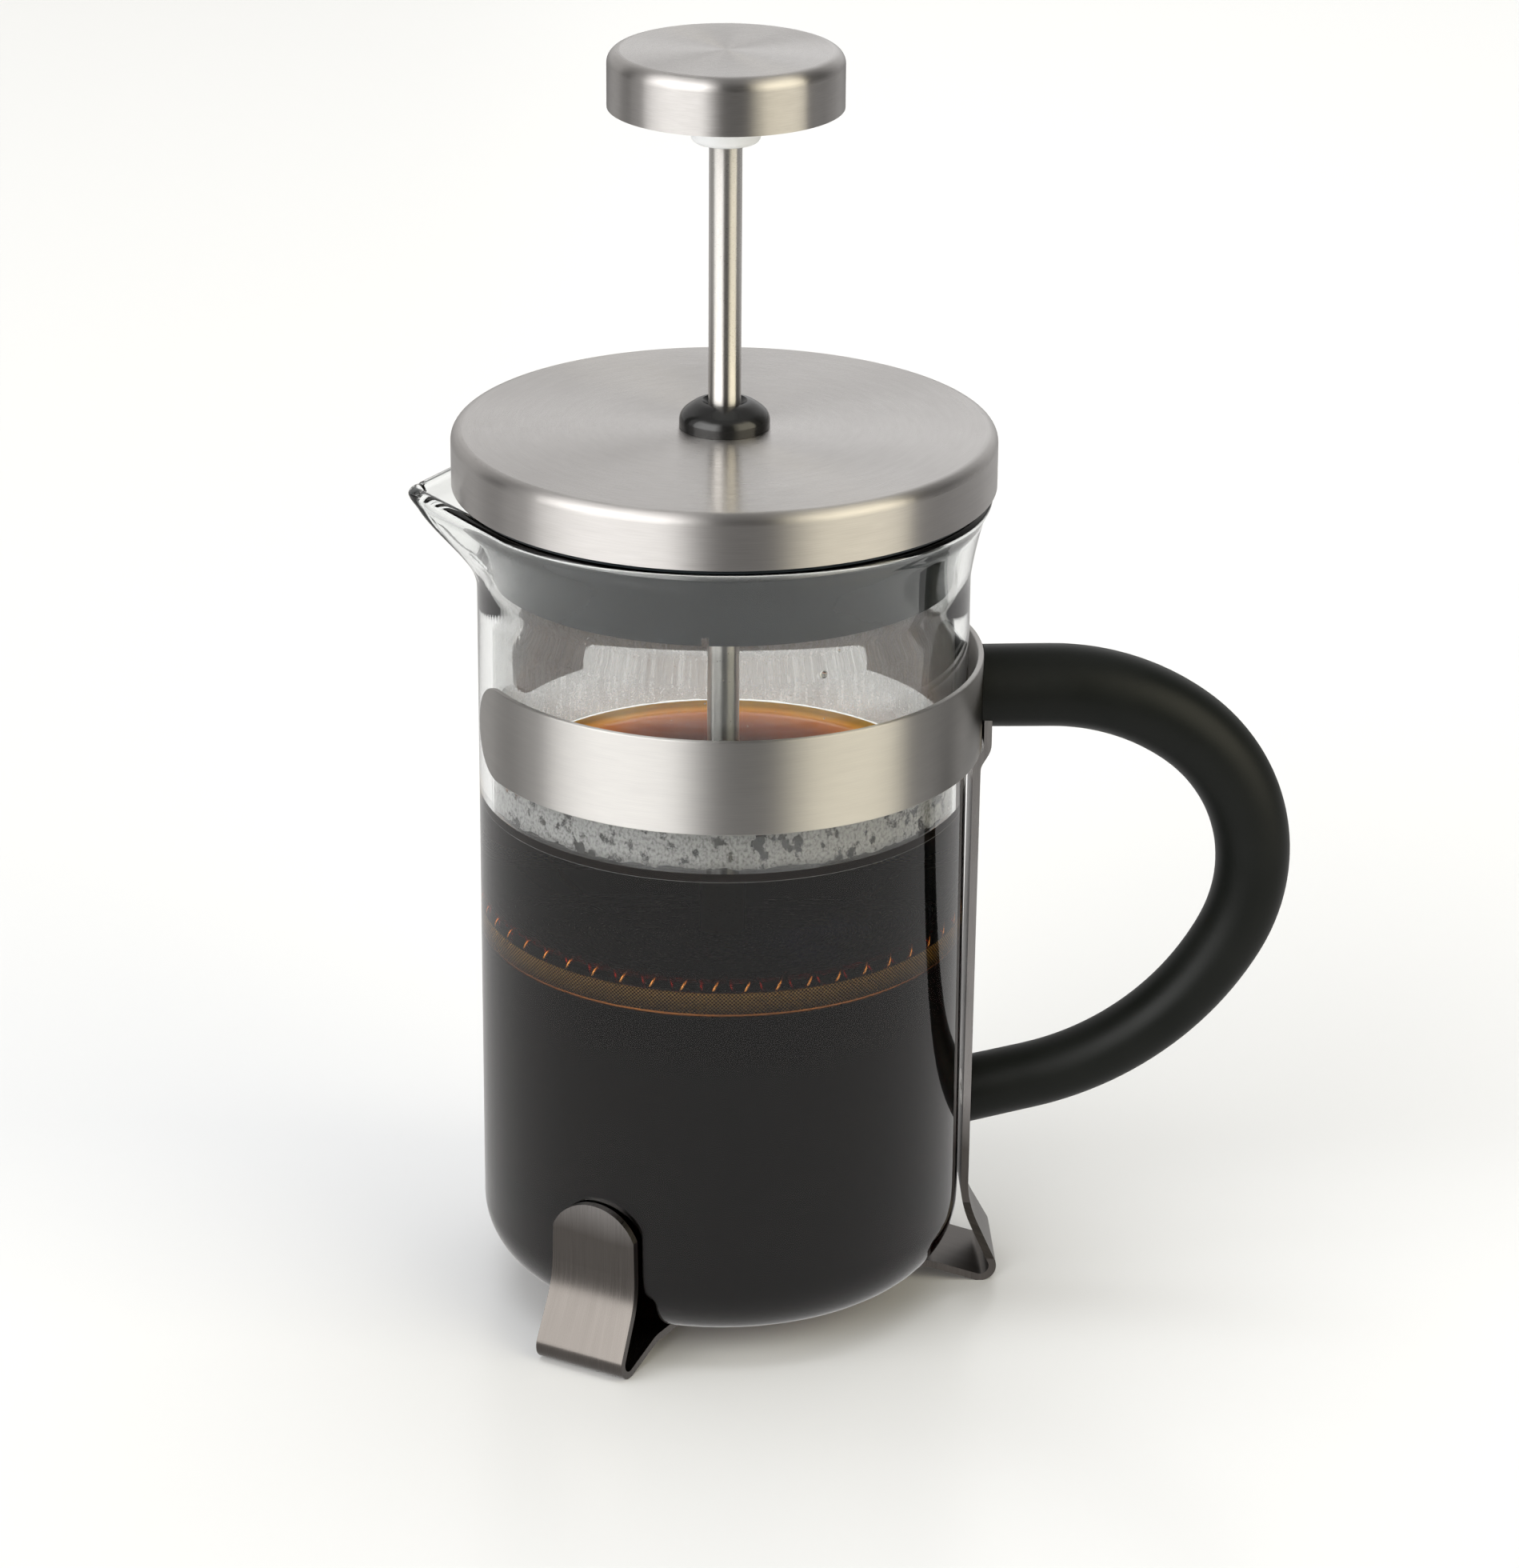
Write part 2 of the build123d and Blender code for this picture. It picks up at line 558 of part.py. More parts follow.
KNOB_INSERT_LENGTH = 6.0
with BuildPart() as knob_insert:
    with BuildSketch(Plane.XY.offset(ROD_SHOULDER_HIGH + 0.05)):
        Circle(POCKET_R - SLIP)
        Circle(ROD_THREAD_R + SLIP, mode=Mode.SUBTRACT)
    extrude(amount=KNOB_INSERT_LENGTH)
finish(knob_insert.part, "knob_insert")

# ---- filter -------------------------------------------------------------
PLATE_R = 28.4
DISH_R = 23.0
DISH_Z = MESH_Z + MESH_T + 0.05
PLATE_T = 0.7
PLATE_HOLES = ((10.0, 8), (17.5, 14))  # radius of each ring of holes, and how many it has
PLATE_HOLE_R = 1.8
WASHER_R = 5.5
with BuildPart() as spring_plate:
    with BuildSketch(Plane.XZ):
        with BuildLine():
            Polyline(
                (ROD_THREAD_R + SLIP, DISH_Z),
                (DISH_R, DISH_Z),
                (DISH_R + 3, SPRING_Z - PLATE_T / 2),
                (PLATE_R, SPRING_Z - PLATE_T / 2),
                (PLATE_R, SPRING_Z + PLATE_T / 2),
                (DISH_R + 2.6, SPRING_Z + PLATE_T / 2),
                (DISH_R - 0.3, DISH_Z + PLATE_T),
                (ROD_THREAD_R + SLIP, DISH_Z + PLATE_T),
                close=True,
            )
        make_face()
    revolve(axis=Axis.Z)
    for ring_r, holes in PLATE_HOLES:
        with BuildSketch(Plane.XY.offset(DISH_Z)):
            with PolarLocations(ring_r, holes):
                Circle(PLATE_HOLE_R)
        extrude(amount=2, mode=Mode.SUBTRACT)
finish(spring_plate.part, "spring_plate")

with BuildPart() as stop_washer:
    washer_z = DISH_Z + PLATE_T + SEAT_GAP
    with BuildSketch(Plane.XY.offset(washer_z)):
        Circle(WASHER_R)
        Circle(ROD_THREAD_R + SLIP, mode=Mode.SUBTRACT)
    extrude(amount=ROD_SHOULDER_LOW - washer_z - SEAT_GAP)
finish(stop_washer.part, "stop_washer")

with BuildPart() as filter_mesh:
    with BuildSketch(Plane.XY.offset(MESH_Z)):
        Circle(FILTER_R)
    extrude(amount=MESH_RIM_Z - MESH_Z)
    with BuildSketch(Plane.XY.offset(MESH_Z + MESH_T)):
        Circle(FILTER_R - MESH_T)
    extrude(amount=MESH_RIM_Z, mode=Mode.SUBTRACT)
    with BuildSketch(Plane.XY.offset(MESH_Z)):
        Circle(ROD_THREAD_R + SLIP)
    extrude(amount=MESH_T, mode=Mode.SUBTRACT)
finish(filter_mesh.part, "filter_mesh")

CROSS_R = 32.2
CROSS_T = 0.8
CROSS_LOW_Z = MESH_Z - 0.05 - CROSS_T
CROSS_RING = 4.0
CROSS_ARM = 7.0
CROSS_HUB_R = 9.0
FILTER_NUT_R = 5.2
with BuildPart() as cross_plate:
    with BuildSketch(Plane.XY.offset(CROSS_LOW_Z)):
        Circle(CROSS_R)
        Circle(CROSS_R - CROSS_RING, mode=Mode.SUBTRACT)
        Rectangle(2 * CROSS_R - 2, CROSS_ARM)
        Rectangle(CROSS_ARM, 2 * CROSS_R - 2)
        Circle(CROSS_HUB_R)
        Circle(ROD_THREAD_R + SLIP, mode=Mode.SUBTRACT)
    extrude(amount=CROSS_T)
    outer_edges = cross_plate.edges().filter_by(GeomType.CIRCLE).group_by(SortBy.RADIUS)[-1]
    fillet(outer_edges.group_by(Axis.Z)[0], 0.5)
finish(cross_plate.part, "cross_plate")

with BuildPart() as filter_nut:
    with BuildSketch(Plane.XY.offset(NUT_LOW_Z)):
        RegularPolygon(FILTER_NUT_R, 6)
        Circle(ROD_THREAD_R + SLIP, mode=Mode.SUBTRACT)
    extrude(amount=CROSS_LOW_Z - 0.05 - NUT_LOW_Z)
    chamfer(filter_nut.faces().sort_by(Axis.Z)[0].edges().filter_by(GeomType.LINE), 0.5)
finish(filter_nut.part, "filter_nut")


# The coil that is wound round the rim, as a ring with the coil's outer and inner radius.
COIL_MID_R = FILTER_R - MESH_T - 0.1 - SPRING_WIRE_R - SPRING_COIL_R
with BuildPart() as filter_spring:
    with BuildSketch(Plane.XZ):
        with Locations((COIL_MID_R, SPRING_Z)):
            Circle(SPRING_COIL_R + SPRING_WIRE_R)
            Circle(SPRING_COIL_R - SPRING_WIRE_R, mode=Mode.SUBTRACT)
    revolve(axis=Axis.Z)
finish(filter_spring.part, "filter_spring")
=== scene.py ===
import math
import random

import bpy
from mathutils import Matrix, Vector, noise


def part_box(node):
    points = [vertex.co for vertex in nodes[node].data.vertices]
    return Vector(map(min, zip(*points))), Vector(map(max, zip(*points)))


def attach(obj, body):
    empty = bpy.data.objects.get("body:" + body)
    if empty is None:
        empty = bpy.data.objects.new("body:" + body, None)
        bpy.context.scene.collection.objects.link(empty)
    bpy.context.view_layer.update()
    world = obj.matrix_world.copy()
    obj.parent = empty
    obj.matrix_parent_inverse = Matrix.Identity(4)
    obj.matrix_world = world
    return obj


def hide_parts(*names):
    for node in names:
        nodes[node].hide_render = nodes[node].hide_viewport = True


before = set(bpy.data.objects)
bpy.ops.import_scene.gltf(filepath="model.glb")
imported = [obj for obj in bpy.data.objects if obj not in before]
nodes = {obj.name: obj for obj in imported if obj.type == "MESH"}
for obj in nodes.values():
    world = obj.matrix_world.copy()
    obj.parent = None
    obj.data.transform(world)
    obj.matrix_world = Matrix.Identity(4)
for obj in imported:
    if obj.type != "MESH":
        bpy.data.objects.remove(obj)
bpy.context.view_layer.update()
MM = 0.001

# ---- camera -------------------------------------------------------------
# The camera stands in front of the press, a little to the spout's side, and looks down at it.
VIEW_TURN = math.radians(-2.0)
PITCH = math.radians(21.97)
YAW = math.radians(0.42)
ROLL = math.radians(0.42)
DISTANCE = 775.98 * MM
AIM_HEIGHT = 76.87 * MM
LENS_MM = 123.67
SENSOR_MM = 36.0


def make_camera():
    data = bpy.data.cameras.new("camera")
    data.lens = LENS_MM
    data.sensor_width = SENSOR_MM
    camera = bpy.data.objects.new("camera", data)
    bpy.context.scene.collection.objects.link(camera)
    place = Vector((0, -DISTANCE * math.cos(PITCH), AIM_HEIGHT + DISTANCE * math.sin(PITCH)))
    ahead = Vector((math.sin(YAW) * math.cos(PITCH), math.cos(YAW) * math.cos(PITCH), -math.sin(PITCH)))
    level = Vector((math.cos(YAW), -math.sin(YAW), 0))
    upright = level.cross(ahead)
    right = level * math.cos(ROLL) + upright * math.sin(ROLL)
    up = upright * math.cos(ROLL) - level * math.sin(ROLL)
    axes = Matrix((right, up, -ahead)).transposed().to_4x4()
    turn = Matrix.Rotation(VIEW_TURN, 4, "Z")
    camera.matrix_world = turn @ Matrix.Translation(place) @ axes
    bpy.context.scene.camera = camera


# ---- shading nodes ------------------------------------------------------
UNROLL_R = 33.0 * MM  # radius at which a pattern on the round wall is laid out flat


class Shading:
    """A node tree and short ways of adding to it."""

    def __init__(self, tree):
        self.tree = tree

    def node(self, kind, **settings):
        made = self.tree.nodes.new(kind)
        for key, value in settings.items():
            setattr(made, key, value)
        return made

    def feed(self, socket, value):
        """Give a socket another node's output, a colour of three parts or a number."""
        if isinstance(value, bpy.types.NodeSocket):
            self.tree.links.new(value, socket)
        elif isinstance(value, tuple):
            socket.default_value = (*value, 1)
        else:
            socket.default_value = value

    def math(self, operation, a, b=None):
        made = self.node("ShaderNodeMath", operation=operation)
        self.feed(made.inputs[0], a)
        if b is not None:
            self.feed(made.inputs[1], b)
        return made.outputs[0]

    def add(self, a, b):
        return self.math("ADD", a, b)

    def minus(self, a, b):
        return self.math("SUBTRACT", a, b)

    def times(self, a, b):
        return self.math("MULTIPLY", a, b)

    def place(self, kind="Object"):
        """x, y and z of a point, in metres on the piece. In a room, "Generated" is a ray's direction."""
        split = self.node("ShaderNodeSeparateXYZ")
        self.feed(split.inputs[0], self.node("ShaderNodeTexCoord").outputs[kind])
        return split.outputs

    def radius(self, x, y):
        return self.math("SQRT", self.add(self.times(x, x), self.times(y, y)))

    def unrolled(self, x, y):
        """How far round the axis a point is, as a length on the wall."""
        return self.times(self.math("ARCTAN2", y, x), UNROLL_R)

    def vector(self, x, y, z):
        made = self.node("ShaderNodeCombineXYZ")
        for socket, value in zip(made.inputs, (x, y, z)):
            self.feed(socket, value)
        return made.outputs[0]

    def noise(self, vector=None, scale=1.0, detail=2.0, rough=0.5):
        """Noise from 0 to 1 with that many lumps to the metre, or to the unit of the vector."""
        made = self.node("ShaderNodeTexNoise")
        made.inputs["Scale"].default_value = scale
        made.inputs["Detail"].default_value = detail
        made.inputs["Roughness"].default_value = rough
        if vector is None:
            vector = self.node("ShaderNodeTexCoord").outputs["Object"]
        self.feed(made.inputs["Vector"], vector)
        return made.outputs["Fac"]

    def spread(self, value, low, high, start=0.3, end=0.7):
        """Go from low to high while the value goes from start to end."""
        made = self.node("ShaderNodeMapRange")
        made.inputs["From Min"].default_value = start
        made.inputs["From Max"].default_value = end
        made.inputs["To Min"].default_value = low
        made.inputs["To Max"].default_value = high
        self.feed(made.inputs["Value"], value)
        return made.outputs[0]

    def ramp(self, value, stops):
        """Colours between stops, each a position and a colour."""
        made = self.node("ShaderNodeValToRGB")
        steps = made.color_ramp.elements
        while len(steps) < len(stops):
            steps.new(0.5)
        for step, (position, colour) in zip(steps, stops):
            step.position = position
            step.color = (*colour, 1)
        self.feed(made.inputs[0], value)
        return made.outputs[0]

    def tones(self, value, dark, light, start=0.3, end=0.7):
        return self.ramp(value, ((start, dark), (end, light)))

    def mix(self, factor, a, b, blend_type="MIX"):
        made = self.node("ShaderNodeMix", data_type="RGBA", blend_type=blend_type)
        for name, value in (("Factor", factor), ("A", a), ("B", b)):
            self.feed(made.inputs[name], value)
        return made.outputs["Result"]


class Material(Shading):
    """A Principled material whose detail comes from object coordinates."""

    def __init__(self, name):
        self.mat = bpy.data.materials.new(name)
        self.mat.use_nodes = True
        super().__init__(self.mat.node_tree)
        self.shader = self.tree.nodes["Principled BSDF"]

    def set(self, base=None, **sockets):
        """Set the shader's sockets. A plain base colour is also the colour of the solid view."""
        if base:
            self.mat.diffuse_color = (*base, 1)
            self.feed(self.shader.inputs["Base Color"], base)
        for key, value in sockets.items():
            self.feed(self.shader.inputs[key.replace("_", " ")], value)

    def bump(self, height, distance, strength=1.0):
        made = self.node("ShaderNodeBump")
        made.inputs["Distance"].default_value = distance
        made.inputs["Strength"].default_value = strength
        self.feed(made.inputs["Height"], height)
        self.set(Normal=made.outputs[0])


# ---- stage --------------------------------------------------------------
LIGHT_PLACE = Vector((0, 0.25, 1.5))
LIGHT_AIM = Vector((0, 0, 0.08))
LIGHT_SIZE = (1.6, 1.2)
LIGHT_POWER = 14.5
LIGHT_COLOUR = (0.975, 0.99, 1.0)


def make_light():
    """One large soft panel over the press and a little behind it, which steel and glass don't mirror."""
    data = bpy.data.lights.new("top_panel", "AREA")
    data.shape = "RECTANGLE"
    data.size, data.size_y = LIGHT_SIZE
    data.energy = LIGHT_POWER
    data.color = LIGHT_COLOUR
    light = bpy.data.objects.new("top_panel", data)
    bpy.context.scene.collection.objects.link(light)
    light.location = LIGHT_PLACE
    light.rotation_mode = "QUATERNION"
    light.rotation_quaternion = (LIGHT_PLACE - LIGHT_AIM).to_track_quat("Z", "Y")
    light.visible_camera = False
    light.visible_glossy = False


# The room above the table as the press sees it: azimuth in degrees from the camera's side, and its light.
# Azimuths over 0 are on the handle's side, where the wall behind the press is brighter.
ROOM = (
    (-180, (0.62, 0.61, 0.60)),
    (-125, (0.60, 0.59, 0.58)),
    (-120, (0.06, 0.057, 0.054)),
    (-106, (0.06, 0.057, 0.054)),
    (-103, (0.62, 0.61, 0.60)),
    (-88, (0.62, 0.61, 0.60)),
    (-85, (2.9, 2.88, 2.84)),
    (-60, (4.4, 4.38, 4.32)),
    (-26, (4.4, 4.38, 4.32)),
    (-12, (0.9, 0.88, 0.86)),
    (-5, (0.02, 0.018, 0.016)),
    (19, (0.02, 0.018, 0.016)),
    (29, (1.5, 1.40, 1.10)),
    (40, (3.0, 2.79, 2.20)),
    (79, (3.0, 2.79, 2.20)),
    (82, (0.03, 0.028, 0.026)),
    (96, (0.12, 0.115, 0.11)),
    (104, (0.03, 0.028, 0.026)),
    (124, (0.26, 0.255, 0.25)),
    (140, (0.60, 0.59, 0.58)),
    (180, (1.0, 1.0, 1.0)),
)
CEILING = (0.36, 0.355, 0.35)
BELOW = (0.16, 0.157, 0.152)  # what lies beyond and under the table
# A ray's rise per unit of length: where the walls turn into the ceiling, and where they end at the table.
CEILING_FADE = (0.6, 0.85)
TABLE_FADE = (0.02, -0.06)


def make_world():
    """Two soft panels either side of the camera, a dim gap between them and a pale wall behind the press."""
    world = bpy.data.worlds.new("room")
    bpy.context.scene.world = world
    world.use_nodes = True
    room = Shading(world.node_tree)
    room.tree.nodes.clear()
    x, y, z = room.place("Generated")
    turn = room.math("ARCTAN2", x, room.times(y, -1))
    share = room.spread(turn, 0.0, 1.0, -math.pi, math.pi)
    walls = room.ramp(share, [((azimuth + 180) / 360, light) for azimuth, light in ROOM])
    above = room.mix(room.spread(z, 0.0, 1.0, *CEILING_FADE), walls, CEILING)
    whole = room.mix(room.spread(z, 0.0, 1.0, *TABLE_FADE), above, BELOW)
    back = room.node("ShaderNodeBackground")
    room.feed(back.inputs["Color"], whole)
    out = room.node("ShaderNodeOutputWorld")
    room.feed(out.inputs[0], back.outputs[0])


FLOOR_SIZE = 12.0
TABLE_LOW = (-0.6, -0.22)
TABLE_HIGH = (0.6, 0.6)
TABLE_DEPTH = 0.2 * MM  # the patch lies under the floor, which hides it from everything but mirrors
TABLE_LIGHT = 0.62


def flat_sheet(name, low, high, mat):
    mesh = bpy.data.meshes.new(name)
    corners = [(low[0], low[1], 0), (high[0], low[1], 0), (high[0], high[1], 0), (low[0], high[1], 0)]
    mesh.from_pydata(corners, [], [(0, 1, 2, 3)])
    mesh.materials.append(mat.mat)
    sheet = bpy.data.objects.new(name, mesh)
    bpy.context.scene.collection.objects.link(sheet)
    return sheet


def make_floor():
    """A pale floor. Only the table's own patch of it is mirrored in the glass and the steel."""
    white = Material("floor_white")
    white.set(base=(0.76, 0.765, 0.77), Roughness=0.25, Specular_IOR_Level=0.3)
    half = FLOOR_SIZE / 2
    floor = flat_sheet("floor", (-half, -half), (half, half), white)
    floor.visible_glossy = False
    bright = Material("table_bright")
    bright.set(base=(0, 0, 0), Roughness=1.0, Specular_IOR_Level=0.0)
    bright.set(Emission_Color=(1.0, 0.985, 0.97), Emission_Strength=TABLE_LIGHT)
    table = flat_sheet("table_patch", TABLE_LOW, TABLE_HIGH, bright)
    table.location.z = -TABLE_DEPTH
    table.visible_camera = False
    table.visible_diffuse = False
    table.visible_transmission = False
    table.visible_shadow = False


# ---- steel --------------------------------------------------------------
BRUSH_LINES = 9000.0  # to the metre
CIRCLE_BREAKS = 5.0  # changes along a line, to the radian
STRIP_BREAKS = 90.0  # changes along a strip's line, to the metre
STRIP_R = 36.0 * MM
WIDE_LINES = 0.12  # wide bands to each brush line
BRUSH_DEPTH = 0.0015 * MM
HAIR_ROUGHNESS = 0.05
CLOUD_ROUGHNESS = 0.03
TOP_EDGE = 0.8 * MM
TOP_LESS_BRUSHED = 0.12
TOP_SMOOTHER = 0.08
# Painted shade: the frame's steel darkens low on the feet, up to this height, with this unevenness, fade and
# tint.
PAINTED_SHADE_Z = 28.0 * MM
PAINTED_SHADE_UNEVEN = 8.0 * MM
PAINTED_SHADE_FADE = 4.0 * MM
PAINTED_SHADE_TINT = (0.30, 0.285, 0.27)


def brush_lines(mat, radius, turn, z, around):
    """Coordinates across and along the brushing: in circles, or along an upright or level strip."""
    if around:
        return mat.times(mat.minus(radius, z), BRUSH_LINES), mat.times(turn, CIRCLE_BREAKS)
    return mat.times(turn, BRUSH_LINES * STRIP_R), mat.times(mat.add(z, radius), STRIP_BREAKS)


def brushed(name, light, dark, roughness, anisotropic=1.0, around=True, painted_shade_low=False, top_r=None):
    """Brushed steel. Around the axis the lines run in circles, otherwise along a strip's length.

    When asked to, it takes painted shade below a set height, darkening the lower part of the feet. Inside
    top_r, on a flat top, the brushing is softer.
    """
    mat = Material(name)
    mat.set(base=light, Metallic=1.0, Roughness=roughness, Anisotropic=anisotropic)
    mat.set(Anisotropic_Rotation=0.25 if around else 0.0)
    x, y, z = mat.place()
    radius = mat.radius(x, y)
    line, along = brush_lines(mat, radius, mat.math("ARCTAN2", y, x), z, around)
    hairs = mat.noise(mat.vector(line, along, 0.0), detail=3.0, rough=0.65)
    wide = mat.noise(mat.vector(mat.times(line, WIDE_LINES), along, 3.0), detail=2.0)
    cloud = mat.noise(scale=45.0, detail=3.0)
    both = mat.add(mat.times(hairs, 0.7), mat.times(wide, 0.3))
    colour = mat.tones(both, dark, light)
    # Painted shade: darker below a set height, low on the feet.
    if painted_shade_low:
        uneven_z = mat.add(z, mat.times(cloud, PAINTED_SHADE_UNEVEN))
        painted_shade = mat.spread(uneven_z, 1.0, 0.0, PAINTED_SHADE_Z - PAINTED_SHADE_FADE, PAINTED_SHADE_Z + PAINTED_SHADE_FADE)
        colour = mat.mix(painted_shade, colour, PAINTED_SHADE_TINT, "MULTIPLY")
    hair_part = mat.spread(hairs, -HAIR_ROUGHNESS, HAIR_ROUGHNESS)
    rough = mat.add(hair_part, mat.spread(cloud, roughness - CLOUD_ROUGHNESS, roughness + CLOUD_ROUGHNESS))
    if top_r:
        strength = mat.spread(radius, anisotropic - TOP_LESS_BRUSHED, anisotropic, top_r - TOP_EDGE, top_r)
        mat.set(Anisotropic=strength)
        rough = mat.minus(rough, mat.spread(radius, TOP_SMOOTHER, 0.0, top_r - TOP_EDGE, top_r))
    tangent = mat.node("ShaderNodeTangent", direction_type="RADIAL", axis="Z")
    mat.set(Base_Color=colour, Roughness=rough, Tangent=tangent.outputs[0])
    mat.bump(both, BRUSH_DEPTH)
    return mat


WEAVE = 0.55 * MM
WIRE_SHADE = (0.015, 0.012, 0.006)
WIRE_LIGHT = (0.40, 0.32, 0.14)
SUNK_SHADE = (0.02, 0.015, 0.010)


def woven_steel():
    """Filter cloth: fine wires over and under each other, with open holes, darker further down."""
    mat = Material("woven_steel")
    mat.set(base=(0.5, 0.44, 0.3), Metallic=1.0, Roughness=0.35)
    x, y, z = mat.place()
    pitch = 2 * math.pi / WEAVE
    warp = mat.math("SINE", mat.times(mat.unrolled(x, y), pitch))
    weft = mat.math("SINE", mat.times(mat.minus(z, mat.radius(x, y)), pitch))
    weave = mat.times(warp, weft)
    wires = mat.tones(mat.spread(weave, 0.0, 1.0, -1.0, 1.0), WIRE_SHADE, WIRE_LIGHT, 0.2, 0.8)
    low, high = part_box("filter_mesh")
    mat.set(Base_Color=mat.mix(mat.spread(z, 0.12, 1.0, low.z, high.z), SUNK_SHADE, wires))
    mat.bump(weave, 0.08 * MM)
    return mat


def soften_edges(name, width):
    """Round a sheet-metal node's sharp edges a little, so that they catch the light."""
    bevel = nodes[name].modifiers.new("soft_edges", "BEVEL")
    bevel.width = width
    bevel.segments = 2
    bevel.limit_method = "ANGLE"
    bevel.angle_limit = math.radians(50)


# ---- plastic ------------------------------------------------------------
def matt_plastic():
    """Fine moulded grain, slightly uneven in sheen."""
    mat = Material("handle_black")
    mat.set(base=(0.006, 0.007, 0.006), Roughness=0.45, Specular_IOR_Level=0.18)
    grain = mat.noise(scale=5200.0, detail=3.0)
    patches = mat.noise(scale=70.0, detail=3.0)
    mat.set(Base_Color=mat.tones(patches, dark=(0.005, 0.006, 0.005), light=(0.008, 0.009, 0.008)))
    mat.set(Roughness=mat.spread(patches, 0.36, 0.46))
    mat.bump(grain, 0.02 * MM, 0.6)
    return mat


def gloss_plastic(name, dark, light, roughness, shine=0.5):
    mat = Material(name)
    mat.set(base=light, Roughness=roughness, Specular_IOR_Level=shine)
    patches = mat.noise(scale=90.0, detail=4.0)
    fine = mat.noise(scale=1800.0, detail=2.0)
    mat.set(Base_Color=mat.tones(patches, dark, light))
    mat.set(Roughness=mat.spread(patches, roughness - 0.04, roughness + 0.05))
    mat.bump(fine, 0.004 * MM)
    return mat


# ---- glass and coffee ---------------------------------------------------
# Sizes of the beaker and the coffee are in mm.
beaker_low, beaker_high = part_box("beaker")
BASE_Z = beaker_low.z / MM
RIM_Z = beaker_high.z / MM
TIP_R = -beaker_low.x / MM
RIM_R = beaker_high.x / MM
GLASS_R = 35.0
WALL = 1.9
FLOOR_T = 2.5
CORNER_R = 9.5
FLARE_Z = 105.0
SPOUT_Z = 107.6
COFFEE_Z = 76.0
MENISCUS = 1.0
COFFEE_OVERLAP = 0.12  # how far the coffee reaches into the glass, so that no air is left between them
GLASS_IOR = 1.47
WATER_IOR = 1.33  # and coffee's
HIDDEN_IOR = 1.001  # for the coffee's side and bottom, where the glass's own face bends the light
SKIN_BLEND = 0.01  # half the width of the step between the wall's inner and outer half
WET_BLEND = 0.05


def glass():
    """Clear glass. Its inner face bends light less where coffee wets it."""
    mat = Material("glass")
    mat.set(base=(0.985, 0.995, 0.99), Roughness=0.0, Transmission_Weight=1.0)
    x, y, z = mat.place()
    past_flat = mat.minus(mat.radius(x, y), (GLASS_R - CORNER_R) * MM)
    out = mat.math("MAXIMUM", past_flat, 0.0)
    down = mat.math("MINIMUM", mat.minus(z, (BASE_Z + CORNER_R) * MM), 0.0)
    from_core = mat.radius(out, down)
    middle = CORNER_R - WALL / 2
    inner = mat.spread(from_core, 1.0, 0.0, (middle - SKIN_BLEND) * MM, (middle + SKIN_BLEND) * MM)
    level = COFFEE_Z + MENISCUS
    wet = mat.times(inner, mat.spread(z, 1.0, 0.0, (level - WET_BLEND) * MM, level * MM))
    mat.set(IOR=mat.spread(wet, GLASS_IOR, GLASS_IOR / WATER_IOR, 0.0, 1.0))
    return mat


COFFEE_CLEAR = (0.896, 0.568, 0.08)
COFFEE_DENSITY = 1250.0
COFFEE_DARK = (0.012, 0.008, 0.006)
# Painted glow: the top's colour on the far side, standing in for light shining through from behind, from the
# first glow radius to the second.
COFFEE_PAINTED_GLOW = (
    (0.0, (0.03, 0.012, 0.008)),
    (0.25, (0.13, 0.036, 0.020)),
    (0.60, (0.36, 0.085, 0.020)),
    (0.82, (0.75, 0.21, 0.022)),
    (0.93, (1.0, 0.42, 0.045)),
    (1.0, (1.0, 0.62, 0.12)),
)
# Painted glow and painted backlight: where the far side's top is orange and shines, though the coffee is no
# lamp.
PAINTED_GLOW_R = (17.0, 33.2)
PAINTED_GLOW_Y = (-4.0, 14.0)  # where the near side's dark top turns into the far side's
PAINTED_BACKLIGHT = 0.32  # how strongly the far side's top glows, and less where it climbs the wall
EDGE_PAINTED_BACKLIGHT = 0.05


def coffee_liquid():
    """Orange in a thin layer, nearly black in a thick one, with an opaque top whose far edge has a painted
    glow.
    """
    mat = Material("coffee")
    mat.set(Roughness=0.0)
    x, y, z = mat.place()
    top = mat.spread(z, 0.0, 1.0, (COFFEE_Z - 0.3) * MM, (COFFEE_Z - 0.2) * MM)
    share = mat.spread(mat.radius(x, y), 0.0, 1.0, PAINTED_GLOW_R[0] * MM, PAINTED_GLOW_R[1] * MM)
    ripple = mat.times(mat.minus(mat.noise(scale=160.0), 0.5), 0.12)
    # Painted glow: orange on the top's far side, standing in for light shining through from behind.
    painted_glow = mat.ramp(mat.add(share, ripple), COFFEE_PAINTED_GLOW)
    far = mat.spread(y, 0.0, 1.0, PAINTED_GLOW_Y[0] * MM, PAINTED_GLOW_Y[1] * MM)
    top_with_painted_glow = mat.mix(far, COFFEE_DARK, painted_glow)
    mat.set(Base_Color=mat.mix(top, (1.0, 1.0, 1.0), top_with_painted_glow), Emission_Color=top_with_painted_glow)
    # Painted backlight: the top's far side emits light, though the coffee is no lamp.
    light = mat.spread(z, PAINTED_BACKLIGHT, EDGE_PAINTED_BACKLIGHT, (COFFEE_Z + 0.05) * MM, (COFFEE_Z + 0.4) * MM)
    mat.set(Emission_Strength=mat.times(mat.times(top, far), light))
    mat.set(Transmission_Weight=mat.minus(1.0, top))
    mat.set(IOR=mat.spread(top, HIDDEN_IOR, WATER_IOR, 0.0, 1.0))
    volume = mat.node("ShaderNodeVolumeAbsorption")
    volume.inputs["Color"].default_value = (*COFFEE_CLEAR, 1)
    volume.inputs["Density"].default_value = COFFEE_DENSITY
    mat.feed(mat.tree.nodes["Material Output"].inputs["Volume"], volume.outputs[0])
    return mat


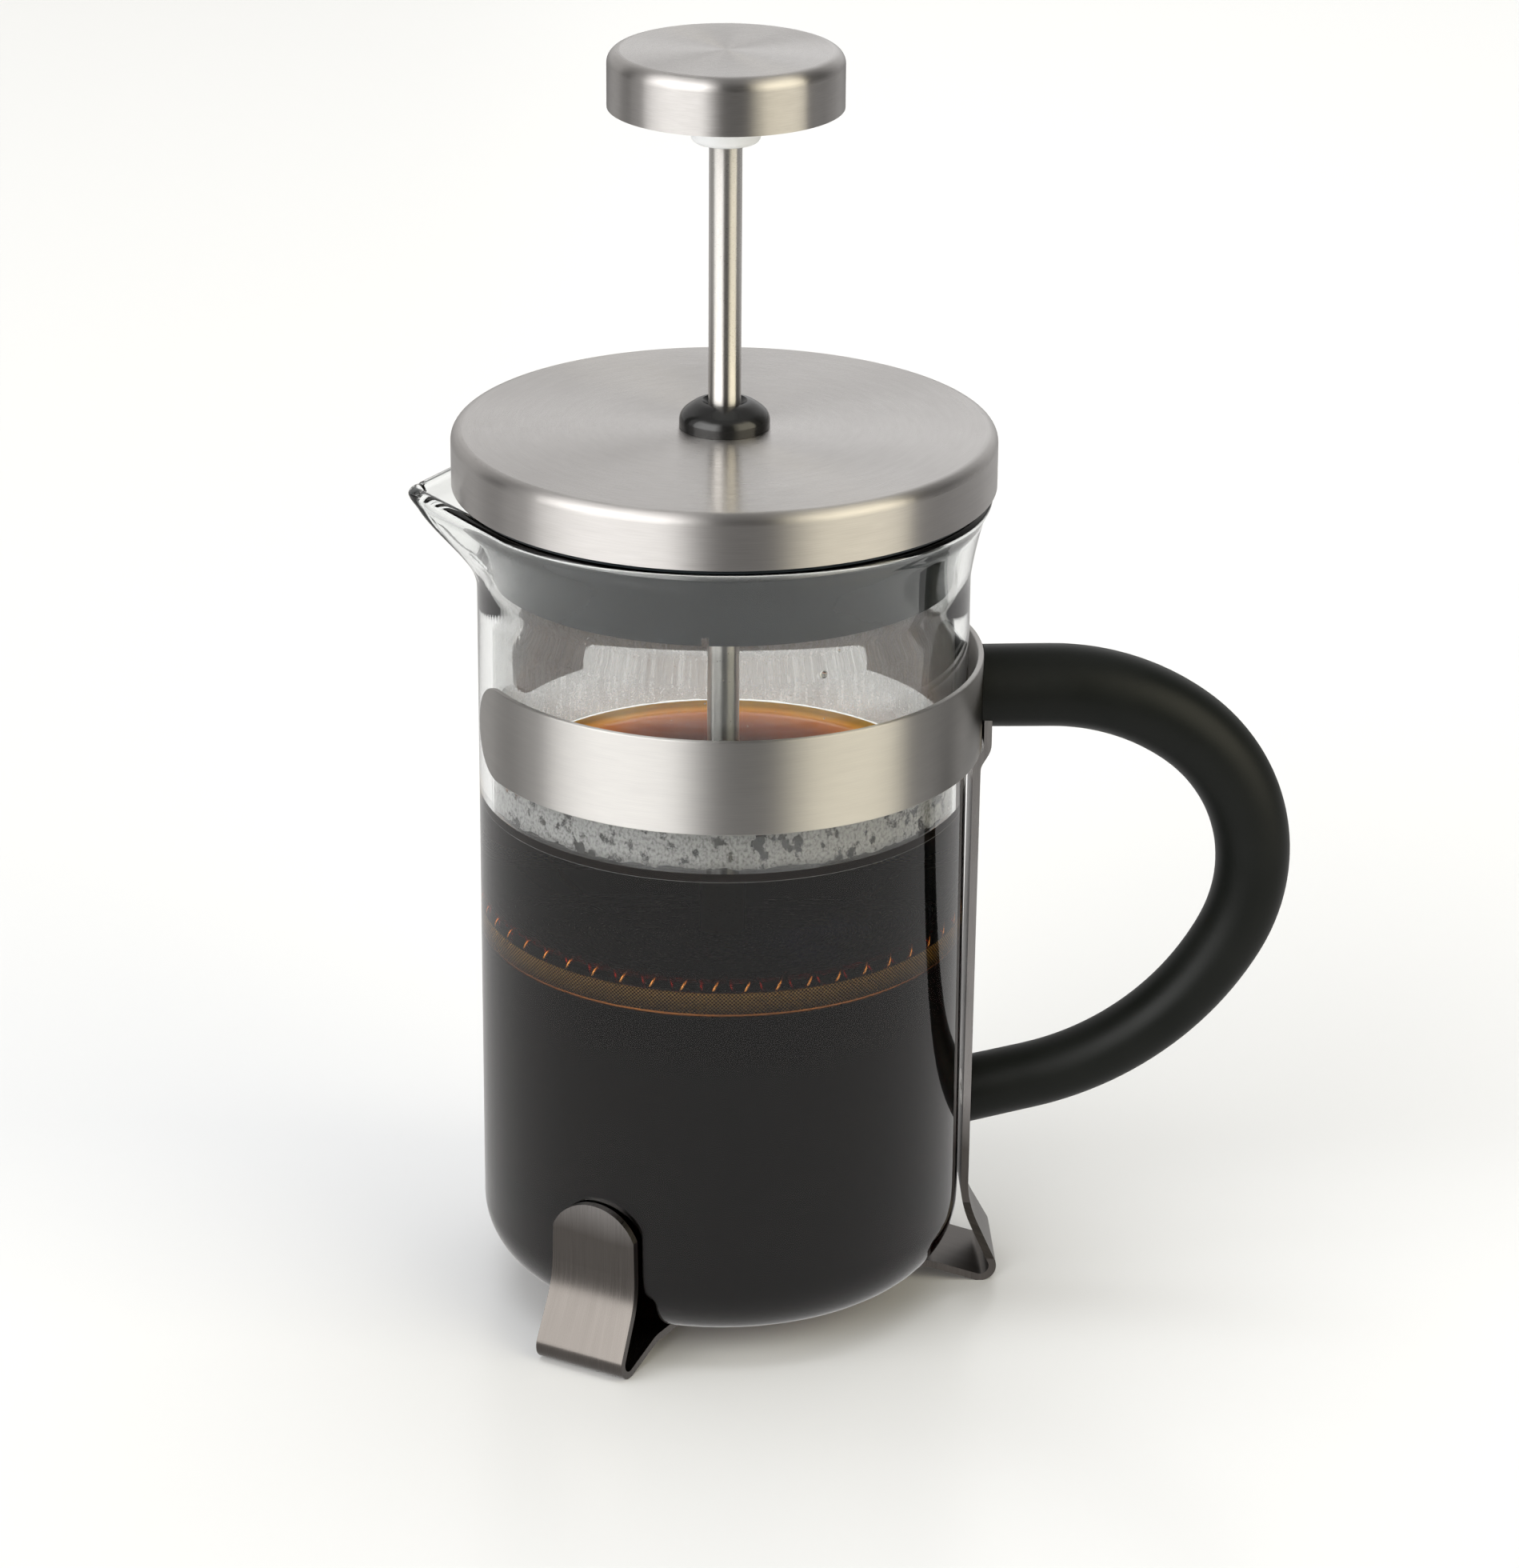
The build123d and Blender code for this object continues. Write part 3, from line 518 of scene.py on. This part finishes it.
def foam():
    """Foam and fine drops left above the coffee on the camera's side, with holes in it."""
    mat = Material("foam")
    mat.set(base=(0.55, 0.54, 0.53), Roughness=0.45)
    x, y, z = mat.place()
    wall = mat.vector(mat.unrolled(x, y), mat.times(z, 0.7), 0.0)
    blots = mat.noise(wall, scale=430.0, detail=4.0, rough=0.6)
    specks = mat.noise(wall, scale=2600.0, detail=2.0)
    near = mat.spread(y, 1.0, 0.0, -5 * MM, 12 * MM)
    pores = mat.spread(specks, 0.6, 0.95, 0.25, 0.5)
    cover = mat.times(mat.spread(blots, 0.0, 1.0, 0.41, 0.465), pores)
    mat.set(Alpha=mat.times(cover, near))
    mat.set(Base_Color=mat.tones(specks, dark=(0.25, 0.245, 0.24), light=(0.42, 0.415, 0.41)))
    mat.bump(blots, 0.08 * MM)
    return mat


def fog():
    """Steam on the glass: a faint haze with fine upright runs in it, thicker on the far side."""
    mat = Material("fog")
    mat.set(base=(0.45, 0.445, 0.44), Roughness=0.6)
    x, y, z = mat.place()
    turn = mat.unrolled(x, y)
    clouds = mat.noise(mat.vector(turn, z, 0.0), scale=120.0, detail=3.0)
    runs = mat.noise(mat.vector(turn, mat.times(z, 0.12), 0.0), scale=1500.0, detail=3.0)
    specks = mat.noise(mat.vector(turn, z, 4.0), scale=3200.0, detail=2.0)
    fine = mat.add(mat.spread(runs, -0.09, 0.09), mat.spread(specks, -0.06, 0.06))
    cover = mat.add(mat.spread(clouds, 0.36, 0.50), fine)
    upper = mat.spread(z, 0.8, 1.0, 92 * MM, 104 * MM)
    far = mat.spread(y, 0.10, 1.0, -12 * MM, 16 * MM)
    mat.set(Alpha=mat.times(cover, mat.times(upper, far)))
    mat.set(Base_Color=mat.tones(specks, dark=(0.60, 0.60, 0.61), light=(0.74, 0.74, 0.75)))
    return mat


def water():
    mat = Material("water")
    mat.set(base=(1.0, 0.97, 0.92), Roughness=0.0, IOR=WATER_IOR, Transmission_Weight=1.0)
    return mat


# ---- pieces -------------------------------------------------------------
def paint(names, mat):
    for name in names:
        slots = nodes[name].data.materials
        slots.clear()
        slots.append(mat.mat)


def new_piece(name, points, faces, mat, body):
    mesh = bpy.data.meshes.new(name)
    mesh.from_pydata([tuple(c * MM for c in p) for p in points], [], faces)
    mesh.update()
    for polygon in mesh.polygons:
        polygon.use_smooth = True
    mesh.materials.append(mat.mat)
    piece = bpy.data.objects.new(name, mesh)
    bpy.context.scene.collection.objects.link(piece)
    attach(piece, body)
    return piece


def lathe(profile, angles, place):
    """Closed surface: a profile from the axis back to the axis, turned round it."""
    points = [place(profile[0], 0.0)]
    for spot in profile[1:-1]:
        points.extend(place(spot, a) for a in angles)
    points.append(place(profile[-1], 0.0))
    count = len(angles)
    rings = len(profile) - 2
    faces = []
    for k in range(count):
        after = (k + 1) % count
        faces.append((0, 1 + after, 1 + k))
        for ring in range(rings - 1):
            low = 1 + ring * count
            high = low + count
            faces.append((low + k, low + after, high + after, high + k))
        last = 1 + (rings - 1) * count
        faces.append((last + k, last + after, len(points) - 1))
    return points, faces


def arc(centre, radius, start, end, steps):
    """Points of an arc in the profile plane, angles in degrees."""
    for k in range(steps + 1):
        a = math.radians(start + (end - start) * k / steps)
        yield centre[0] + radius * math.cos(a), centre[1] + radius * math.sin(a)


def smooth_step(t):
    t = min(1.0, max(0.0, t))
    return t * t * (3 - 2 * t)


# ---- beaker -------------------------------------------------------------
FLARE_POWER = 1.75
TIP_ROUND = 2.2  # the spout's tip in plan: outside, ...
RIM_TIP_ROUND = 0.6  # ... what the rim keeps of it on its inner side, ...
INNER_TIP_ROUND = 0.9  # ... and inside
RIM_ROUND = 1.05
# The rim's bead: how far it stands out, how far under the rim it starts and over which height it grows.
BEAD_OUTSIDE = (0.35, 3.0, 1.6)
BEAD_INSIDE = (0.25, 3.5, 2.0)
SPOUT_EASE = 0.30  # the part of the spout that leaves the wall gently, and the rest bends out to the tip
SPOUT_BEND = 1.7
SPOUT_LEVEL = 1.12  # over 1: the spout's front is upright before it reaches the rim
LEAST_REACH = 0.001
AROUND = 200
SPOUT_FINE = 120
SPOUT_HALF_ANGLE = math.radians(34)
FLAT_STEPS = 4
WALL_STEPS = 5
FLARE_STEPS = 26
CORNER_STEPS = 14
INNER_CORNER_STEPS = 12
RIM_STEPS = 14


def wall_radius(z):
    """Outside radius of the beaker: straight, then flaring out to the rim."""
    t = max(0.0, (z - FLARE_Z) / (RIM_Z - FLARE_Z))
    return GLASS_R + (RIM_R - GLASS_R) * t ** FLARE_POWER


def spout_reach(z):
    """How far the spout's front line stands out past the round wall."""
    t = (z - SPOUT_Z) / (RIM_Z - SPOUT_Z)
    if t <= 0:
        return 0.0
    bend = math.sin(min(1.0, t * SPOUT_LEVEL) * math.pi / 2) ** SPOUT_BEND
    return (TIP_R - RIM_R) * (SPOUT_EASE * smooth_step(t) + (1 - SPOUT_EASE) * bend)


def drop_radius(radius, tip, rounding, angle):
    """Plan of the beaker at one height: a circle drawn out to a rounded tip on the -X side."""
    off = abs(angle - math.pi)
    centre = tip - rounding
    if centre <= radius - rounding + LEAST_REACH:
        return radius
    meet = math.acos((radius - rounding) / centre)
    if off >= meet:
        return radius
    straight = radius / math.cos(meet - off)
    inside = rounding**2 - (centre * math.sin(off)) ** 2
    if inside <= 0:
        return straight
    return min(straight, centre * math.cos(off) + math.sqrt(inside))


def beaker_point(spot, angle):
    radius, z, tip, rounding = spot
    r = drop_radius(radius, tip, rounding, angle) if tip > radius else radius
    return r * math.cos(angle), r * math.sin(angle), z


def bead(z, size, under_rim, height):
    return size * smooth_step((z - (RIM_Z - under_rim)) / height)


def outer_radius(z):
    return max(wall_radius(z) - BEAD_OUTSIDE[0] + bead(z, *BEAD_OUTSIDE), GLASS_R)


def inner_radius(z, widest):
    return max(min(wall_radius(z), widest) - WALL - bead(z, *BEAD_INSIDE), GLASS_R - WALL)


def beaker_profile():
    """Half section: up the outside, over the rim and down the inside. Each spot also has its spout's tip."""
    flat = GLASS_R - CORNER_R
    spots = [(flat * k / FLAT_STEPS, BASE_Z, 0, 0) for k in range(FLAT_STEPS)]
    spots += [(r, z, 0, 0) for r, z in arc((flat, BASE_Z + CORNER_R), CORNER_R, -90, 0, CORNER_STEPS)]
    heights = [FLARE_Z * k / WALL_STEPS for k in range(1, WALL_STEPS + 1)]
    flare = RIM_Z - RIM_ROUND - FLARE_Z
    heights += [FLARE_Z + flare * k / FLARE_STEPS for k in range(1, FLARE_STEPS + 1)]
    for z in heights:
        r = outer_radius(z)
        spots.append((r, z, r + spout_reach(z), TIP_ROUND))
    outer_r = spots[-1][0]
    inner_r = outer_r - 2 * RIM_ROUND
    for r, z in list(arc((outer_r - RIM_ROUND, heights[-1]), RIM_ROUND, 0, 180, RIM_STEPS))[1:]:
        rounding = TIP_ROUND * (r - inner_r) / (2 * RIM_ROUND) + RIM_TIP_ROUND
        spots.append((r, z, r + spout_reach(RIM_Z), rounding))
    for z in reversed(heights[:-1]):
        r = inner_radius(z, outer_r)
        spots.append((r, z, r + spout_reach(z), INNER_TIP_ROUND))
    inner_corner = CORNER_R - WALL
    floor_z = BASE_Z + FLOOR_T
    corner = arc((flat, floor_z + inner_corner), inner_corner, 0, -90, INNER_CORNER_STEPS)
    spots += [(r, z, 0, 0) for r, z in corner]
    spots += [(flat * k / FLAT_STEPS, floor_z, 0, 0) for k in reversed(range(FLAT_STEPS))]
    return spots


def round_angles(count, fine=0):
    """Angles round the axis, with extra ones near the spout, closest together at its tip."""
    angles = [2 * math.pi * k / count for k in range(count)]
    for k in range(fine):
        t = (k + 0.5) / fine * 2 - 1
        angles.append(math.pi + SPOUT_HALF_ANGLE * t * abs(t))
    return sorted(angles)


def make_beaker(mat):
    points, faces = lathe(beaker_profile(), round_angles(AROUND, SPOUT_FINE), beaker_point)
    piece = new_piece("beaker_glass", points, faces, mat, "beaker")
    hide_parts("beaker")


# ---- what is in the beaker ----------------------------------------------
MENISCUS_R = 1.6
MENISCUS_STEPS = 8
COFFEE_SIDE_STEPS = 4
COFFEE_TOP_STEPS = 6
COFFEE_AROUND = 160


def round_point(spot, angle):
    return spot[0] * math.cos(angle), spot[0] * math.sin(angle), spot[1]


def make_coffee(mat):
    """The coffee fills the beaker up to COFFEE_Z and climbs the wall a little."""
    outer = GLASS_R - WALL + COFFEE_OVERLAP
    corner = CORNER_R - WALL + COFFEE_OVERLAP
    low = BASE_Z + FLOOR_T - COFFEE_OVERLAP
    flat = outer - corner
    spots = [(0.0, low), (flat / 2, low)]
    spots += list(arc((flat, low + corner), corner, -90, 0, CORNER_STEPS))
    heights = [COFFEE_Z * k / COFFEE_SIDE_STEPS for k in range(1, COFFEE_SIDE_STEPS)]
    spots += [(outer, z) for z in heights if z > low + corner]
    spots.append((outer, COFFEE_Z + MENISCUS))
    spots += list(arc((outer - MENISCUS_R, COFFEE_Z + MENISCUS_R), MENISCUS_R, -22, -90, MENISCUS_STEPS))
    spots += [(outer * k / COFFEE_TOP_STEPS, COFFEE_Z) for k in reversed(range(COFFEE_TOP_STEPS))]
    points, faces = lathe(spots, round_angles(COFFEE_AROUND), round_point)
    new_piece("coffee", points, faces, mat, "beaker")


SKIN_T = 0.08
SKIN_COLUMNS = 360
SKIN_ROWS = 6
FILM_LOW_Z = COFFEE_Z + MENISCUS + 0.7
FILM_TOP_Z = 85.0
FOG_LOW_Z = COFFEE_Z + MENISCUS + 0.35
FOG_TOP_Z = 110.3
# A ragged edge's waves: height in mm, how fine they are and where in the noise they lie.
RAGGED = ((0.5, 12, 0.0), (0.3, 40, 5.0))


def wall_skin(name, mat, low_z, high_z, rough_edge, inset):
    """A very thin closed sleeve on the inside of the glass, its lower edge ragged or nearly plain."""
    outer = GLASS_R - WALL - inset
    points, faces = [], []
    for radius in (outer, outer - SKIN_T):
        for row in range(SKIN_ROWS + 1):
            for k in range(SKIN_COLUMNS):
                a = 2 * math.pi * k / SKIN_COLUMNS
                waves = (h * noise.noise((n * math.cos(a), n * math.sin(a), at)) for h, n, at in RAGGED)
                low = low_z + rough_edge * sum(waves)
                z = low + (high_z - low) * row / SKIN_ROWS
                points.append((radius * math.cos(a), radius * math.sin(a), z))
    size = SKIN_COLUMNS * (SKIN_ROWS + 1)
    top = SKIN_ROWS * SKIN_COLUMNS
    for k in range(SKIN_COLUMNS):
        after = (k + 1) % SKIN_COLUMNS
        for row in range(SKIN_ROWS):
            a, b = row * SKIN_COLUMNS + k, row * SKIN_COLUMNS + after
            c, d = b + SKIN_COLUMNS, a + SKIN_COLUMNS
            faces.append((a, b, c, d))
            faces.append((size + d, size + c, size + b, size + a))
        faces.append((k, size + k, size + after, after))
        faces.append((top + after, size + top + after, size + top + k, top + k))
    new_piece(name, points, faces, mat, "beaker")


DROPS = 260
DROP_LOW_Z = 98.5
DROP_HIGH_Z = 110.0
DROP_CROWDING = 1.6  # over 1: more drops near the lid
DROP_SIZES = (0.04, 0.11)
DROP_GAP = 0.01  # between a drop's back and the wall
DROP_BULGE = 0.6  # height of a drop to its radius
DROP_SAG = 1.25  # how much longer its lower half is
DROP_RINGS = 4
DROP_SIDES = 10
DROP_SEED = 7
# Two larger drops that the photo shows: angle, height and radius.
LARGE_DROPS = ((math.radians(-68), 105.6, 0.55), (math.radians(-64), 108.6, 0.22))


def drop_shape(centre, outward, radius, points, faces):
    """A flattened bead of water on the wall, bulging inwards."""
    side = Vector((-outward.y, outward.x, 0))
    up = Vector((0, 0, 1))
    start = len(points)
    for ring in range(DROP_RINGS):
        tilt = math.pi / 2 * ring / DROP_RINGS
        for k in range(DROP_SIDES):
            a = 2 * math.pi * k / DROP_SIDES
            spread = radius * math.cos(tilt)
            sag = DROP_SAG if math.sin(a) < 0 else 1.0
            flat = side * (spread * math.cos(a)) + up * (spread * math.sin(a) * sag)
            points.append(centre + flat - outward * (DROP_BULGE * radius * math.sin(tilt)))
    points.append(centre - outward * (DROP_BULGE * radius))
    points.append(centre)
    peak = start + DROP_RINGS * DROP_SIDES
    for k in range(DROP_SIDES):
        after = (k + 1) % DROP_SIDES
        for ring in range(DROP_RINGS - 1):
            low = start + ring * DROP_SIDES
            faces.append((low + k, low + DROP_SIDES + k, low + DROP_SIDES + after, low + after))
        last = start + (DROP_RINGS - 1) * DROP_SIDES
        faces.append((last + k, peak, last + after))
        faces.append((start + after, peak + 1, start + k))


def make_drops(mat):
    """Condensation on the inside of the glass, under the lid's skirt."""
    chance = random.Random(DROP_SEED)
    points, faces = [], []
    wall = GLASS_R - WALL - DROP_GAP
    beads = list(LARGE_DROPS)
    for _ in range(DROPS):
        z = DROP_HIGH_Z - (DROP_HIGH_Z - DROP_LOW_Z) * chance.random() ** DROP_CROWDING
        beads.append((chance.uniform(-math.pi, math.pi), z, chance.uniform(*DROP_SIZES)))
    for a, z, radius in beads:
        outward = Vector((math.cos(a), math.sin(a), 0))
        drop_shape(outward * wall + Vector((0, 0, z)), outward, radius, points, faces)
    new_piece("condensation", points, faces, mat, "beaker")


# ---- filter's spring ----------------------------------------------------
COIL_TURNS = 46
TURN_STEPS = 20
COIL_R = 1.55
WIRE_R = 0.3
WIRE_SIDES = 8


def make_coil(mat):
    """Wire wound round a circle at the filter's edge, where the CAD has a hollow ring."""
    low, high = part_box("filter_spring")
    middle_z = (low.z + high.z) / 2 / MM
    middle_r = (high.x / MM) - (high.z - low.z) / 2 / MM
    steps = COIL_TURNS * TURN_STEPS
    line, away = [], []
    for k in range(steps):
        a = 2 * math.pi * k / steps
        b = a * COIL_TURNS
        outward = Vector((math.cos(a), math.sin(a), 0))
        away.append(outward * math.cos(b) + Vector((0, 0, 1)) * math.sin(b))
        line.append(outward * middle_r + Vector((0, 0, middle_z)) + away[-1] * COIL_R)
    points, faces = [], []
    for k, (spot, out) in enumerate(zip(line, away)):
        ahead = (line[(k + 1) % steps] - line[k - 1]).normalized()
        side = ahead.cross(out).normalized()
        for s in range(WIRE_SIDES):
            c = 2 * math.pi * s / WIRE_SIDES
            points.append(spot + (out * math.cos(c) + side * math.sin(c)) * WIRE_R)
    for k in range(steps):
        here, there = k * WIRE_SIDES, (k + 1) % steps * WIRE_SIDES
        for s in range(WIRE_SIDES):
            t = (s + 1) % WIRE_SIDES
            faces.append((here + s, here + t, there + t, there + s))
    piece = new_piece("filter_coil", points, faces, mat, "plunger")
    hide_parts("filter_spring")


# ---- the press ----------------------------------------------------------
LID_TOP_R = 37.6 * MM
KNOB_TOP_R = 15.6 * MM
STRIP_EDGE = 0.2 * MM


def make_steel():
    """Brush the steel nodes. The filter's steel is also what its coil is made of."""
    lid = brushed("lid_steel", (0.64, 0.62, 0.605), (0.53, 0.51, 0.495), roughness=0.38, top_r=LID_TOP_R)
    knob = brushed("knob_steel", (0.62, 0.60, 0.585), (0.51, 0.49, 0.475), roughness=0.36, top_r=KNOB_TOP_R)
    band = brushed("band_steel", (0.64, 0.625, 0.60), (0.56, 0.545, 0.53), roughness=0.45)
    # The frame's steel takes painted shade low on its feet.
    strips = brushed(
        "frame_steel", (0.46, 0.44, 0.43), (0.33, 0.315, 0.305),
        roughness=0.30, anisotropic=0.3, around=False, painted_shade_low=True,
    )
    rod = brushed("rod_steel", (0.76, 0.74, 0.71), (0.66, 0.64, 0.61), roughness=0.32)
    inner = brushed("filter_steel", (0.50, 0.47, 0.43), (0.40, 0.37, 0.33), roughness=0.25, anisotropic=0.3)
    # Darker, browner steel for the cross plate.
    dark_plate = brushed(
        "dark_plate_steel", (0.30, 0.26, 0.21), (0.22, 0.19, 0.15), roughness=0.3, anisotropic=0.3
    )
    paint(("lid_cover",), lid)
    paint(("knob_cap",), knob)
    paint(("holder_band",), band)
    paint(("base_frame",), strips)
    paint(("plunger_rod",), rod)
    paint(("spring_plate", "stop_washer", "filter_nut", "handle_screws"), inner)
    paint(("cross_plate",), dark_plate)
    paint(("filter_mesh",), woven_steel())
    soften_edges("base_frame", STRIP_EDGE)
    make_coil(inner)


def make_plastic():
    """Black plastic, the knob's white core, and the hidden brass inserts, which are painted as simply."""
    liner = gloss_plastic(
        "liner_black", (0.008, 0.011, 0.013), (0.013, 0.017, 0.020), roughness=0.12, shine=0.3
    )
    bush = gloss_plastic("bush_black", (0.006, 0.006, 0.006), (0.012, 0.012, 0.012), roughness=0.16)
    core = gloss_plastic("knob_white", (0.74, 0.75, 0.76), (0.82, 0.83, 0.84), roughness=0.35)
    brass = gloss_plastic("insert_brass", (0.62, 0.45, 0.2), (0.75, 0.56, 0.28), roughness=0.3)
    paint(("handle",), matt_plastic())
    paint(("lid_liner",), liner)
    paint(("lid_bush", "bush_nut"), bush)
    paint(("knob_core",), core)
    paint(("knob_insert", "handle_inserts"), brass)


make_camera()
make_world()
make_light()
make_floor()
make_plastic()
make_beaker(glass())
make_coffee(coffee_liquid())
wall_skin("foam_film", foam(), FILM_LOW_Z, FILM_TOP_Z, rough_edge=1.0, inset=0.02)
wall_skin("steam_haze", fog(), FOG_LOW_Z, FOG_TOP_Z, rough_edge=0.25, inset=0.14)
make_drops(water())
make_steel()

bpy.context.scene.view_settings.view_transform = "Standard"
